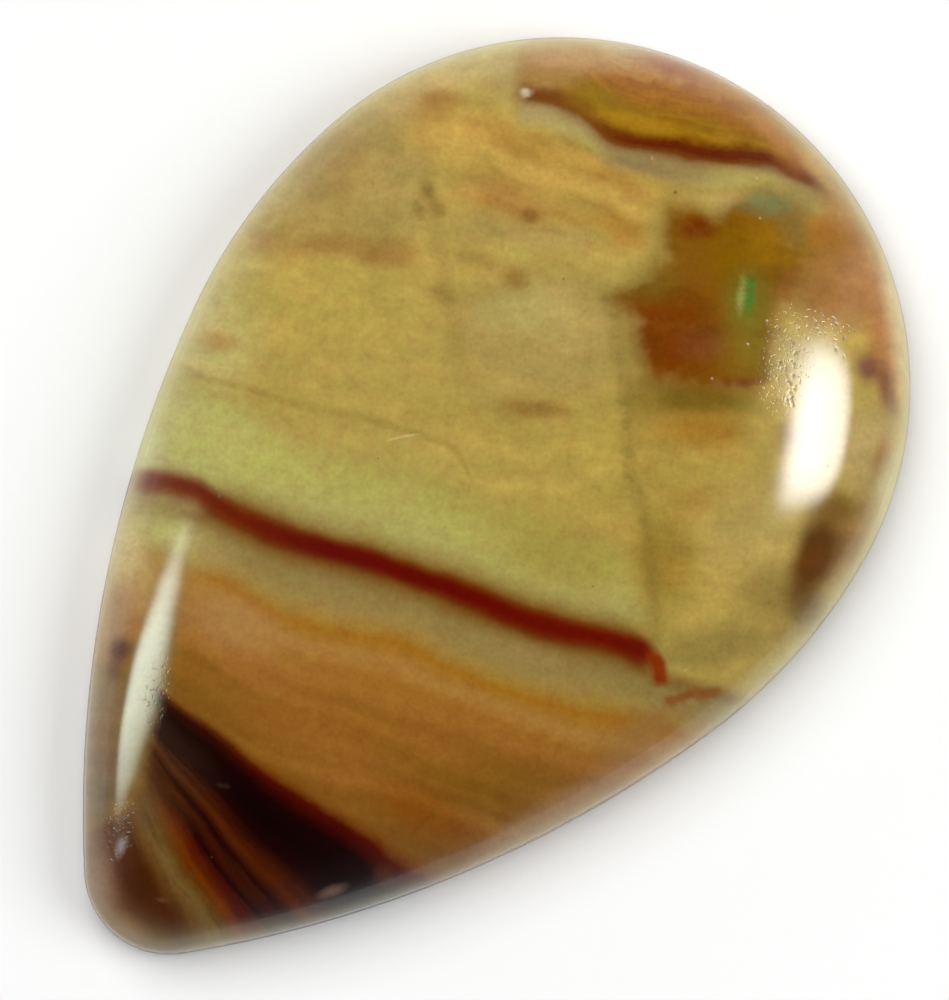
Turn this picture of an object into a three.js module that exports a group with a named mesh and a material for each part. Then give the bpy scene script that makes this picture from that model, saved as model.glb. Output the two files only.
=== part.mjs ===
import * as THREE from 'three';

// A pear-shaped jasper cabochon, one polished piece of stone, in millimetres.
// The origin is the middle of the flat back. +Y points to the round end and +Z up through the dome.

// The outline is a chain of arcs, each tangent to the last. A turn is the direction that the rim
// faces, in degrees from +Y, and each arc ends at its turn. The tip's arc closes the chain.
const roundEndRadius = 11.9;
const roundEndTurn = 80.5;
const shoulderRadius = 19.0;
const shoulderTurn = 104.5;
const flankRadius = 41.2;
const flankTurn = 131.9;
const tipTurn = 180;

// Heights above the flat back, and how far each level steps in from the widest outline.
const thickness = 5.6;
const backBevelHeight = 0.45;
const backBevelInset = 0.45;
const girdleHeight = 1.5;
const girdleLean = 0.12;

// The dome's section: 2 is an ellipse, and more gives a flatter top with fuller shoulders.
const domePower = 2.2;

// How finely the arcs and the dome are faceted.
const arcSteps = [18, 9, 11, 14];
const domeRings = 18;

const stoneColour = '#9c7d3e';
const stoneRoughness = 0.12;

// The arcs of one side, from the crown of the round end at x = 0 to the tip at x = 0.
function outlineArcs() {
  const turns = [roundEndTurn, shoulderTurn, flankTurn, tipTurn].map(THREE.MathUtils.degToRad);
  const radii = [roundEndRadius, shoulderRadius, flankRadius];
  const reach = radii.reduce((sum, radius, i) => {
    const from = i === 0 ? 0 : turns[i - 1];
    return sum + radius * (Math.sin(turns[i]) - Math.sin(from));
  }, 0);
  radii.push(reach / Math.sin(turns[2]));

  let end = new THREE.Vector2(0, 0);
  let from = 0;
  const arcs = radii.map((radius, i) => {
    const centre = end.clone().sub(facing(from).multiplyScalar(radius));
    end = centre.clone().add(facing(turns[i]).multiplyScalar(radius));
    const arc = { centre, radius, from, to: turns[i], steps: arcSteps[i] };
    from = turns[i];
    return arc;
  });

  const middle = end.y / 2;
  arcs.forEach((arc) => {
    arc.centre.y -= middle;
  });
  return arcs;
}

function facing(turn) {
  return new THREE.Vector2(Math.sin(turn), Math.cos(turn));
}

const arcs = outlineArcs();
const peak = arcs[0].centre;
const crownReach = roundEndRadius - girdleLean;
const tipReach = peak.y - (arcs[3].centre.y - arcs[3].radius) - girdleLean;

// One level of the rim, stepped in from the widest outline, as points anticlockwise from the crown.
function rim(inset) {
  const right = [];
  for (const { centre, radius, from, to, steps } of arcs) {
    const first = Math.PI / 2 - from;
    const last = Math.PI / 2 - to;
    const curve = new THREE.ArcCurve(centre.x, centre.y, radius - inset, first, last, true);
    right.push(...curve.getPoints(steps).slice(0, -1));
  }
  const tip = arcs[3].centre.clone();
  tip.y -= arcs[3].radius - inset;
  const left = right.map((p) => new THREE.Vector2(-p.x, p.y));
  return [...left, tip, ...right.slice(1).reverse()];
}

// Half the dome's width where it meets the girdle, across the stone at this y.
function halfWidth(y) {
  const arc = arcs.find(({ centre, radius, to }) => {
    return y >= centre.y + (radius - girdleLean) * Math.cos(to);
  }) ?? arcs[3];
  const along = y - arc.centre.y;
  const radius = arc.radius - girdleLean;
  return arc.centre.x + Math.sqrt(Math.max(0, radius * radius - along * along));
}

// The dome's surface: elliptical across and along, with its highest point over the round end.
function domeHeight(x, y) {
  const reach = y > peak.y ? crownReach : tipReach;
  const along = Math.min(1, Math.abs(y - peak.y) / reach);
  const across = Math.min(1, Math.abs(x) / Math.max(halfWidth(y), 1e-6));
  const outward = Math.sqrt(1 - (1 - across * across) * (1 - along * along));
  const rise = (1 - outward ** domePower) ** (1 / domePower);
  return girdleHeight + (thickness - girdleHeight) * rise;
}

// The rings from the back's edge, up the girdle and over the dome, closer together at its foot.
function stoneRings() {
  const level = (inset, z) => rim(inset).map((p) => new THREE.Vector3(p.x, p.y, z));
  const rings = [
    level(backBevelInset, 0),
    level(0, backBevelHeight),
    level(girdleLean, girdleHeight),
  ];
  const foot = rim(girdleLean);
  for (let i = 1; i < domeRings; i += 1) {
    const share = Math.cos((i / domeRings) * (Math.PI / 2));
    rings.push(foot.map((p) => {
      const q = p.clone().sub(peak).multiplyScalar(share).add(peak);
      return new THREE.Vector3(q.x, q.y, domeHeight(q.x, q.y));
    }));
  }
  return rings;
}

// The closed skin: the flat back, each band between two rings, and the cap at the peak.
function stoneGeometry() {
  const rings = stoneRings();
  const count = rings[0].length;
  const points = rings.flat();
  const backMiddle = points.push(new THREE.Vector3(peak.x, peak.y, 0)) - 1;
  const top = points.push(new THREE.Vector3(peak.x, peak.y, thickness)) - 1;
  const lastRing = (rings.length - 1) * count;
  const faces = [];
  for (let i = 0; i < count; i += 1) {
    const next = (i + 1) % count;
    faces.push(backMiddle, next, i);
    faces.push(top, lastRing + i, lastRing + next);
    for (let low = 0; low < lastRing; low += count) {
      const high = low + count;
      faces.push(low + i, low + next, high + next);
      faces.push(low + i, high + next, high + i);
    }
  }
  const geometry = new THREE.BufferGeometry().setFromPoints(points);
  geometry.setIndex(faces);
  geometry.computeVertexNormals();
  return geometry;
}

const stoneMaterial = new THREE.MeshStandardMaterial({
  color: stoneColour,
  roughness: stoneRoughness,
  metalness: 0,
});

const cabochon = new THREE.Mesh(stoneGeometry(), stoneMaterial);
cabochon.name = 'cabochon';

const jasperCabochon = new THREE.Group();
jasperCabochon.add(cabochon);

export default jasperCabochon;
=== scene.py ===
from math import cos, radians, sin

import bmesh
import bpy
import numpy as np
from mathutils import Matrix, Quaternion, Vector


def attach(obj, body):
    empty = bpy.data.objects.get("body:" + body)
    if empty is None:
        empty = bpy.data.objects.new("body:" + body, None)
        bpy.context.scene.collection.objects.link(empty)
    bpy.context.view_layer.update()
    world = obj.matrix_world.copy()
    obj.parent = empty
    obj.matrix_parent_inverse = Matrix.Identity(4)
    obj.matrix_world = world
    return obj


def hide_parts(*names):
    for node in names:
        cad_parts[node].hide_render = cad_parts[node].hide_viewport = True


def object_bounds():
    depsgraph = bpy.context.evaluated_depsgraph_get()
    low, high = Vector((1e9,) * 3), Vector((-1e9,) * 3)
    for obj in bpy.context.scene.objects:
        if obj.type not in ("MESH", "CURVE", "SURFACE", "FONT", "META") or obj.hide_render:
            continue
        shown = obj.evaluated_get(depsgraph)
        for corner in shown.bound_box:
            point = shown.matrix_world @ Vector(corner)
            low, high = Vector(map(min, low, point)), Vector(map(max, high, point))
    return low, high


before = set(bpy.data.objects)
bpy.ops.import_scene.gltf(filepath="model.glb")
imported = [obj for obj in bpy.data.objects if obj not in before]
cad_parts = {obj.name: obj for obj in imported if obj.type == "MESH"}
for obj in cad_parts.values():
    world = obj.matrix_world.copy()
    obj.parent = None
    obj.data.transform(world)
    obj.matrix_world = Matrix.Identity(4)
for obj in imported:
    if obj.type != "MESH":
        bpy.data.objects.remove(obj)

# A red creek jasper cabochon on its flat back. Blender's units are metres, the dictionaries' are mm.
cadLow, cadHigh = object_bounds()
mm = 0.001
print("frame: stone of", [round(side / mm, 2) for side in cadHigh - cadLow], "mm")


class Wire:
    # a socket of a node tree; sums on wires add Math nodes
    tree = None

    def __init__(self, socket):
        self.socket = socket

    @classmethod
    def node(cls, kind, settings=None, sockets=None, out=0):
        made = cls.tree.nodes.new("ShaderNode" + kind)
        for name, value in (settings or {}).items():
            if name == "stops":
                for number, (at, colour) in enumerate(value):
                    stops = made.color_ramp.elements
                    stop = stops[number] if number < 2 else stops.new(at)
                    stop.position = at
                    stop.color = colour
            else:
                setattr(made, name, value)
        for name, value in (sockets or {}).items():
            if isinstance(value, Wire):
                cls.tree.links.new(value.socket, made.inputs[name])
            else:
                made.inputs[name].default_value = value
        return cls(made.outputs[out])

    def math(self, operation, first, second):
        return Wire.node("Math", {"operation": operation}, {0: first, 1: second})

    def __add__(self, other):
        return self.math("ADD", self, other)

    def __radd__(self, other):
        return self.math("ADD", other, self)

    def __sub__(self, other):
        return self.math("SUBTRACT", self, other)

    def __rsub__(self, other):
        return self.math("SUBTRACT", other, self)

    def __mul__(self, other):
        return self.math("MULTIPLY", self, other)

    def __rmul__(self, other):
        return self.math("MULTIPLY", other, self)

    def __truediv__(self, other):
        return self.math("DIVIDE", self, other)

    def __rtruediv__(self, other):
        return self.math("DIVIDE", other, self)

    def __abs__(self):
        return Wire.node("Math", {"operation": "ABSOLUTE"}, {0: self})


def rising(wire, low, high, first=0.0, last=1.0):
    # first under low, last over high, smooth between
    sockets = {"Value": wire, "From Min": low, "From Max": high, "To Min": first, "To Max": last}
    return Wire.node("MapRange", {"interpolation_type": "SMOOTHSTEP"}, sockets)


def falling(wire, low, high):
    return rising(wire, low, high, 1.0, 0.0)


def larger(first, second):
    return first.math("MAXIMUM", first, second)


def mixed(first, second, share, way="MIX"):
    sockets = {0: share, 6: first, 7: second}
    return Wire.node("Mix", {"data_type": "RGBA", "blend_type": way}, sockets, 2)


def dot(wire, way):
    return Wire.node("VectorMath", {"operation": "DOT_PRODUCT"}, {0: wire, 1: way}, 1)


def vector(x, y, z):
    return Wire.node("CombineXYZ", None, {0: x, 1: y, 2: z})


def noise(place, size, detail=2.0, rough=0.5):
    # size is how wide one blotch is, in the units of the place
    sockets = {"Vector": place, "Scale": 1 / size, "Detail": detail, "Roughness": rough}
    return Wire.node("TexNoise", None, sockets)


# How the picture lies on the stone. The stone's markings are laid out in the picture's pixels.
picture = {
    "pixelsPerMm": 29.46,
    "stoneMiddle": (448.4, 525.5),  # the pixel over the middle of the stone
    "frameMiddle": (474.5, 500.0),
    "frameHeight": 1000.0,
    "stoneTurn": 50.93,  # the stone's long axis, in degrees above the picture's horizontal
    "light": 1.12,  # how much brighter the lit stone is than its own colours
    "haze": 0.004,  # what the polish adds to every colour
}
stoneTurn = radians(picture["stoneTurn"])
pictureRight = Vector((sin(stoneTurn), cos(stoneTurn), 0))
pictureUp = Vector((-cos(stoneTurn), sin(stoneTurn), 0))


def inPicture(right, up, height):
    # a place given in mm along the picture's right and up, and above the floor
    return (pictureRight * right + pictureUp * up + Vector((0, 0, height))) * mm


def onStone(pixel):
    # the stone's own x and y, in mm, under a pixel
    right = (pixel[0] - picture["stoneMiddle"][0]) / picture["pixelsPerMm"]
    up = (picture["stoneMiddle"][1] - pixel[1]) / picture["pixelsPerMm"]
    place = pictureRight * right + pictureUp * up
    return place.x, place.y


def paint(colour):
    # a colour as it looks in the picture, 0 to 255, as the stone's own linear colour
    shares = [part / 255 for part in colour]
    linear = [p / 12.92 if p <= 0.04045 else ((p + 0.055) / 1.055) ** 2.4 for p in shares]
    return (*[max(0.0, part - picture["haze"]) / picture["light"] for part in linear], 1.0)


def placed(name, data):
    made = bpy.data.objects.new(name, data)
    bpy.context.scene.collection.objects.link(made)
    return made


# Camera: straight down on the dome, from far enough that the outline keeps its proportions
camera = {"lens": 300, "sensor": 36, "focusHeight": 1.5, "clip": (10, 10000)}


def makeCamera():
    data = bpy.data.cameras.new("camera")
    data.lens = camera["lens"]
    data.sensor_width = camera["sensor"]
    data.clip_start, data.clip_end = [reach * mm for reach in camera["clip"]]
    view = placed("camera", data)
    shown = picture["frameHeight"] / picture["pixelsPerMm"] * mm
    away = shown * camera["lens"] / camera["sensor"]
    right = (picture["frameMiddle"][0] - picture["stoneMiddle"][0]) / picture["pixelsPerMm"]
    above = (picture["stoneMiddle"][1] - picture["frameMiddle"][1]) / picture["pixelsPerMm"]
    place = Matrix((pictureRight, pictureUp, Vector((0, 0, 1)))).transposed().to_4x4()
    place.translation = inPicture(right, above, camera["focusHeight"]) + Vector((0, 0, away))
    view.matrix_world = place
    bpy.context.scene.camera = view


# Two soft boxes for the highlights, two wide fills for the soft light, and a dim room
studio = {
    # where from, in degrees from the picture's right and from straight above, then how far and how wide;
    # core is how much of the box is evenly bright, fade how much it dims along its width and height
    "rightBox": {
        "toward": -6.6, "slant": 45.3, "away": 300, "wide": 152, "high": 141, "roll": 2, "power": 0.92,
        "core": 0.0, "fade": (0.1, -0.9, 0), "colour": (1, 1, 1),
    },
    "leftBox": {
        "toward": 180.9, "slant": 56.6, "away": 300, "wide": 88, "high": 153, "roll": 22, "power": 0.6,
        "core": 0.0, "fade": (0.9, -0.28, 0), "colour": (1.0, 1.12, 1.0),
    },
    "mainFill": {
        "toward": 125, "slant": 25, "away": 700, "wide": 700, "high": 700, "roll": 0, "power": 5.4,
        "core": 0.9, "fade": (0, 0, 0), "colour": (1, 1, 1),
    },
    "sideFill": {
        "toward": -8, "slant": 45, "away": 500, "wide": 350, "high": 350, "roll": 0, "power": 1.6,
        "core": 0.9, "fade": (0, 0, 0), "colour": (1, 1, 1),
    },
    "floor": {"side": 1500, "colour": (0.875, 0.88, 0.875), "rough": 0.9},
    "sky": [  # how bright, from straight below to straight above
        (0.0, 0.7), (0.5, 1.0), (0.53, 0.82), (0.58, 0.5), (0.65, 0.3), (0.75, 0.16), (0.85, 0.06),
        (0.925, 0.03), (1.0, 0.02),
    ],
    "skyLight": 0.95,
    "brightSide": 125,  # degrees from the picture's right
    "lean": 0.45,  # how much brighter it is there
}


def makeBox(name, box):
    data = bpy.data.lights.new(name, "AREA")
    data.shape = "RECTANGLE"
    data.size = box["wide"] * mm
    data.size_y = box["high"] * mm
    data.energy = box["power"]
    data.color = box["colour"]
    data.use_nodes = True
    Wire.tree = data.node_tree
    spot = Wire.node("NewGeometry", None, None, 5)  # across the box, 0 to 1 each way
    across = abs(dot(spot, (1, 0, 0)) - 0.5) * 2
    along = abs(dot(spot, (0, 1, 0)) - 0.5) * 2
    # rounded corners, and evenly bright only up to its core
    glow = falling(across * across * across + along * along * along, box["core"], 1)
    glow = glow * (1 - dot(spot, box["fade"]))
    Wire.tree.links.new(glow.socket, Wire.tree.nodes["Emission"].inputs["Strength"])
    lamp = placed(name, data)
    toward = radians(box["toward"])
    slant = radians(box["slant"])
    flat = box["away"] * sin(slant)
    lamp.location = inPicture(flat * cos(toward), flat * sin(toward), box["away"] * cos(slant))
    lamp.rotation_mode = "QUATERNION"
    roll = Quaternion((0, 0, 1), radians(box["roll"]))
    lamp.rotation_quaternion = lamp.location.to_track_quat("Z", "Y") @ roll
    lamp.visible_camera = False
    return lamp


def makeFloor():
    side = studio["floor"]["side"] * mm
    mesh = bpy.data.meshes.new("floor")
    corners = [(x * side / 2, y * side / 2, 0) for x, y in ((-1, -1), (1, -1), (1, 1), (-1, 1))]
    mesh.from_pydata(corners, [], [(0, 1, 2, 3)])
    floor = placed("floor", mesh)
    paper = bpy.data.materials.new("pale sheet")
    paper.use_nodes = True
    shader = paper.node_tree.nodes["Principled BSDF"]
    shader.inputs["Base Color"].default_value = (*studio["floor"]["colour"], 1)
    shader.inputs["Roughness"].default_value = studio["floor"]["rough"]
    shader.inputs["Specular IOR Level"].default_value = 0.0
    mesh.materials.append(paper)


def makeSky():
    sky = bpy.data.worlds.new("studio")
    bpy.context.scene.world = sky
    sky.use_nodes = True
    Wire.tree = sky.node_tree
    way = Wire.node("TexCoord", None, None, 0)
    height = dot(way, (0, 0, 0.5)) + 0.5
    stops = [(at, (grey, grey, grey, 1)) for at, grey in studio["sky"]]
    grey = Wire.node("ValToRGB", {"stops": stops}, {0: height})
    side = radians(studio["brightSide"])
    bright = pictureRight * cos(side) + pictureUp * sin(side)
    level = (dot(way, tuple(bright)) * studio["lean"] + 1) * studio["skyLight"]
    background = Wire.tree.nodes["Background"]
    Wire.tree.links.new(grey.socket, background.inputs["Color"])
    Wire.tree.links.new(level.socket, background.inputs["Strength"])


makeCamera()
makeBox("right soft box", studio["rightBox"]).visible_diffuse = False
makeBox("left soft box", studio["leftBox"]).visible_diffuse = False
makeBox("main fill", studio["mainFill"]).visible_glossy = False
makeBox("side fill", studio["sideFill"]).visible_glossy = False
makeFloor()
makeSky()
bpy.context.scene.view_settings.view_transform = "Standard"
print("studio: camera, two soft boxes, two fills, pale floor and room")


# The stone's form, in mm: the solid's arcs and dome, with rounded edges and fine facets
form = {
    "arcRadii": [11.9, 19.0, 41.2],  # round end, shoulder and flank; the tip's arc closes them
    "arcTurns": [80.5, 104.5, 131.9, 180.0],  # where each arc ends, in degrees from +Y
    "arcSteps": [64, 30, 76, 20],
    "bevel": 0.45,
    "girdleHeight": 1.5,
    "girdleLean": 0.12,
    "domePower": 2.2,
    "edgeRound": 0.12,
    "edgeSteps": 4,
    "wallSteps": 6,
    "domeRings": 140,
    "evenRings": 0.55,  # how evenly the rings lie in plan; the rest of them crowd to the dome's foot
    "backRings": 12,
    "backEdge": 0.995,  # where the last of them lies, as a share of the way out
    "groundReach": 1.4,  # over 1, the edge is fully ground before the back begins
    "mapMargin": 0.5,  # round each sheet of the bake map
    "unevenness": 0.006,  # how far hand polishing leaves the dome from true
    "unevenSize": 3.4,
    "unevenSeed": 5,
    "evenFoot": 0.6,  # it grows to its full over this height above the dome's foot
    "sheenReach": 0.8,  # how far in over the dome its painted pale sheen reaches
    "wallSheen": 0.2,  # how much of that painted sheen is left on the wall
    "wallFade": 0.7,
    "sideBlend": 0.5,  # how far to each side of the long axis the two sides' painted sheens blend
    "leftSheen": [  # the stone's own y, and how strong the painted pale sheen is there
        (-17, 0.35), (-13, 0.38), (-11, 0.5), (-9, 0.75), (-6.7, 0.78), (-4.4, 1.0), (-2.1, 1.2), (0.2, 1.0),
        (2.8, 0.75), (5.4, 0.6), (8, 0.6), (10, 0.7), (11.9, 0.92), (13.5, 1.05), (15, 1.15), (16.2, 0.95),
        (17, 0.6), (17.6, 0.55),
    ],
    "rightSheen": [
        (-17, 0.5), (-15, 0.45), (-13, 0.25), (-11, 0.35), (-9, 0.3), (-6.7, 0.45), (-4.4, 0.55), (0.2, 0.55),
        (2.8, 0.85), (5.4, 0.55), (8, 1.0), (10, 1.35), (11.9, 1.15), (13.5, 0.95), (15, 0.78), (16.2, 0.85),
        (17, 1.05), (17.6, 1.1),
    ],
}
thickness = (cadHigh.z - cadLow.z) / mm


def outlineArcs():
    turns = [0.0, *[radians(turn) for turn in form["arcTurns"]]]
    radii = list(form["arcRadii"])
    reach = sum(radii[i] * (sin(turns[i + 1]) - sin(turns[i])) for i in range(len(radii)))
    radii.append(reach / sin(turns[-2]))
    found = []
    end = np.zeros(2)
    for i, radius in enumerate(radii):
        middle = end - radius * np.array([sin(turns[i]), cos(turns[i])])
        end = middle + radius * np.array([sin(turns[i + 1]), cos(turns[i + 1])])
        found.append({"middle": middle, "radius": radius, "from": turns[i], "to": turns[i + 1]})
    for arc in found:
        arc["middle"][1] -= end[1] / 2
    return found


arcs = outlineArcs()
peak = arcs[0]["middle"]
tipArc = arcs[-1]
crownReach = arcs[0]["radius"] - form["girdleLean"]
tipReach = peak[1] - tipArc["middle"][1] + tipArc["radius"] - form["girdleLean"]


def rim(inset):
    # the outline stepped in by inset, anticlockwise from the crown of the round end
    right = []
    for arc, steps in zip(arcs, form["arcSteps"]):
        for turn in np.linspace(arc["from"], arc["to"], steps + 1)[:-1]:
            facing = np.array([sin(turn), cos(turn)])
            right.append(arc["middle"] + (arc["radius"] - inset) * facing)
    tip = tipArc["middle"] - np.array([0, tipArc["radius"] - inset])
    right = np.array(right)
    return np.vstack([right * (-1, 1), tip, right[:0:-1]])


def halfWidth(y):
    # half the dome's width at its foot
    width = np.full(y.shape, 1e-6)
    done = np.zeros(y.shape, bool)
    for arc in arcs:
        radius = arc["radius"] - form["girdleLean"]
        along = y - arc["middle"][1]
        here = (along >= radius * cos(arc["to"])) & ~done
        across = arc["middle"][0] + np.sqrt(np.maximum(0, radius**2 - along**2))
        width[here] = np.maximum(across[here], 1e-6)
        done |= here
    return width


def outward(x, y):
    # 0 under the dome's peak, 1 at its foot
    reach = np.where(y > peak[1], crownReach, tipReach)
    along = np.minimum(1, np.abs(y - peak[1]) / reach)
    across = np.minimum(1, np.abs(x) / halfWidth(y))
    return np.sqrt(1 - (1 - across**2) * (1 - along**2))


def domeHeight(x, y):
    rise = (1 - outward(x, y) ** form["domePower"]) ** (1 / form["domePower"])
    return form["girdleHeight"] + (thickness - form["girdleHeight"]) * rise


def waves(places, size, seed, count=16):
    # smooth unevenness, about -1 to 1: plane waves in every direction, most of them size long
    draw = np.random.default_rng(seed)
    ways = draw.normal(size=(places.shape[1], count))
    ways *= 2 * np.pi / size * draw.uniform(0.5, 1.5, count) / np.linalg.norm(ways, axis=0)
    return np.cos(places @ ways + draw.uniform(0, 2 * np.pi, count)).sum(1) / np.sqrt(count)


def edgeProfile():
    # (inset, height) from the flat back round its bevel and up the girdle, with rounded corners
    bevel = form["bevel"]
    top = np.array([form["girdleLean"], form["girdleHeight"]])
    corners = [np.array(p) for p in ((2 * bevel, 0), (bevel, 0), (0, bevel), top)]
    path = []
    for before, corner, after in zip(corners, corners[1:], corners[2:]):
        start = corner + (before - corner) / np.linalg.norm(before - corner) * form["edgeRound"]
        end = corner + (after - corner) / np.linalg.norm(after - corner) * form["edgeRound"]
        for share in np.linspace(0, 1, form["edgeSteps"] + 1):
            path.append((1 - share) ** 2 * start + 2 * share * (1 - share) * corner + share**2 * end)
    for share in np.linspace(0, 1, form["wallSteps"] + 1)[1:]:
        path.append(end * (1 - share) + top * share)
    return path


def stoneRings():
    # each ring's points, its places on the bake map, and how far it is ground, not polished
    profile = edgeProfile()
    steps = [np.linalg.norm(b - a) for a, b in zip(profile, profile[1:])]
    below = np.append(np.cumsum(steps[::-1])[::-1], 0)  # how far each level is below the girdle's top
    rings = []
    inner = rim(profile[0][0])
    for share in [*np.linspace(0, 1, form["backRings"] + 1)[1:-1], form["backEdge"]]:
        flat = peak + (inner - peak) * share
        rings.append({"points": np.c_[flat, np.zeros(len(flat))], "sheet": flat, "ground": 1.0})
    t = np.arange(1, form["domeRings"]) / form["domeRings"]
    shares = form["evenRings"] * (1 - t**1.5) + (1 - form["evenRings"]) * np.cos(t * np.pi / 2)
    foot = rim(form["girdleLean"])
    # the sheet is stretched by the length of the dome's slope, so that steep parts keep their detail
    heights = domeHeight(np.zeros(len(t) + 1), peak[1] - tipReach * np.append(1, shares))
    slope = np.hypot(np.diff(np.append(1, shares)) * tipReach, np.diff(heights))
    unrolled = (np.cumsum(slope[::-1])[::-1] + shares[-1] * tipReach) / tipReach
    for (inset, height), distance in zip(profile, below):
        flat = rim(inset)
        sheet = peak + (rim(form["girdleLean"] - distance) - peak) * unrolled[0]
        ground = min(1.0, distance / below[0] * form["groundReach"])
        rings.append({"points": np.c_[flat, np.full(len(flat), height)], "sheet": sheet, "ground": ground})
    for share, spread in zip(shares, np.append(unrolled[1:], shares[-1])):
        flat = peak + (foot - peak) * share
        points = np.c_[flat, domeHeight(flat[:, 0], flat[:, 1])]
        rings.append({"points": points, "sheet": peak + (foot - peak) * spread, "ground": 0.0})
    return rings


def rimSheenAndDull(places):
    # how strong the painted pale sheen of the lit edge is: about 1 on the dome's foot, less up the dome and
    # down the wall
    inward = (1 - outward(places[:, 0], places[:, 1])) * crownReach
    under = smooth(form["girdleHeight"] - places[:, 2], 0, form["wallFade"])
    left, right = [np.interp(places[:, 1], *zip(*form[side])) for side in ("leftSheen", "rightSheen")]
    strength = left + (right - left) * smooth(places[:, 0], -form["sideBlend"], form["sideBlend"])
    onWall = 1 - under * (1 - form["wallSheen"])
    return np.clip(1 - inward / form["sheenReach"], 0, 1) ** 2 * onWall * strength


# Where the polish is broken: tiny open pits, in the picture's pixels, with radius and depth in mm
pits = {
    # the named ones also carry a painted glint in the colour
    "named": [
        (524, 95, 0.11, 0.015), (764, 323, 0.06, 0.01), (745, 346, 0.06, 0.01), (709, 380, 0.06, 0.01),
        (757, 221, 0.06, 0.01), (754, 181, 0.08, 0.01), (650, 162, 0.06, 0.01), (683, 669, 0.06, 0.01),
    ],
    "clusters": [  # x, y, spread along x and y, count
        (784, 358, 10, 18, 26), (822, 332, 14, 10, 14), (786, 398, 5, 10, 8), (126, 836, 7, 14, 5),
    ],
    "seed": 11,
    "radius": (0.04, 0.09),
    "depth": (0.004, 0.007),
    "scattered": 8,
    "aboveFoot": 1,  # how high over the dome's foot they start
    "edgeCuts": 3,
    "reach": 1.2,  # how many radii a pit's mark and its finer facets reach
    "spare": 0.03,  # and the facets this much further
    "pitted": [  # where the polish is grainy all over: middle, size, turn, softness, strength
        ((782, 362), (20, 40), 10, 0.7, 1.0),
        ((822, 326), (30, 12), 20, 0.7, 0.6),
        ((160, 692), (12, 34), 14, 0.7, 0.5),
        ((118, 836), (16, 30), 16, 0.7, 1.0),
    ],
}


def pitList():
    draw = np.random.default_rng(pits["seed"])
    found = [(*onStone(pit[:2]), pit[2], pit[3]) for pit in pits["named"]]
    for x, y, spreadX, spreadY, count in pits["clusters"]:
        for _ in range(count):
            pixel = (draw.normal(x, spreadX), draw.normal(y, spreadY))
            found.append((*onStone(pixel), draw.uniform(*pits["radius"]), draw.uniform(*pits["depth"])))
    wanted = len(found) + pits["scattered"]
    while len(found) < wanted:
        x, y = draw.uniform(-crownReach, crownReach), draw.uniform(cadLow.y, cadHigh.y) / mm
        if domeHeight(np.array([x]), np.array([y]))[0] > form["girdleHeight"] + pits["aboveFoot"]:
            found.append((x, y, draw.uniform(*pits["radius"]), draw.uniform(*pits["depth"])))
    return found


def cutPits(mesh, holes):
    # finer facets round each pit, then every point of the dome is set to its height
    middles = np.zeros(len(mesh.polygons) * 3)
    mesh.polygons.foreach_get("center", middles)
    middles = middles.reshape(-1, 3) / mm
    dome = middles[:, 2] > form["girdleHeight"]
    chosen = set()
    for x, y, radius, _ in holes:
        reach = radius * pits["reach"] + pits["spare"]
        near = np.hypot(middles[:, 0] - x, middles[:, 1] - y) < reach
        chosen.update(np.nonzero(near & dome)[0].tolist())
    shape = bmesh.new()
    shape.from_mesh(mesh)
    shape.faces.ensure_lookup_table()
    edges = {edge for number in sorted(chosen) for edge in shape.faces[number].edges}
    ordered = sorted(edges, key=lambda edge: edge.index)
    bmesh.ops.subdivide_edges(shape, edges=ordered, cuts=pits["edgeCuts"], use_grid_fill=True)
    shape.to_mesh(mesh)
    shape.free()
    places = pointsOf(mesh)
    onDome = isDome(places)
    x, y = places[onDome, 0], places[onDome, 1]
    sunk = np.zeros(len(x))
    for pitX, pitY, radius, depth in holes:
        away = np.hypot(x - pitX, y - pitY) / radius
        sunk = np.maximum(sunk, depth * np.clip(1 - away**2, 0, 1) ** 1.5)
    height = domeHeight(x, y)
    share = np.clip((height - form["girdleHeight"]) / form["evenFoot"], 0, 1)
    wave = np.clip(waves(places[onDome, :2], form["unevenSize"], form["unevenSeed"]), -1, 1)
    uneven = form["unevenness"] / 2 * share * (1 + wave)
    places[onDome, 2] = height - sunk - uneven
    mesh.vertices.foreach_set("co", (places * mm).ravel())


def isDome(places):
    # which points lie above the dome's foot
    return places[:, 2] > form["girdleHeight"] + 1e-4


def pointsOf(mesh):
    places = np.zeros(len(mesh.vertices) * 3)
    mesh.vertices.foreach_get("co", places)
    return places.reshape(-1, 3) / mm


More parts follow.
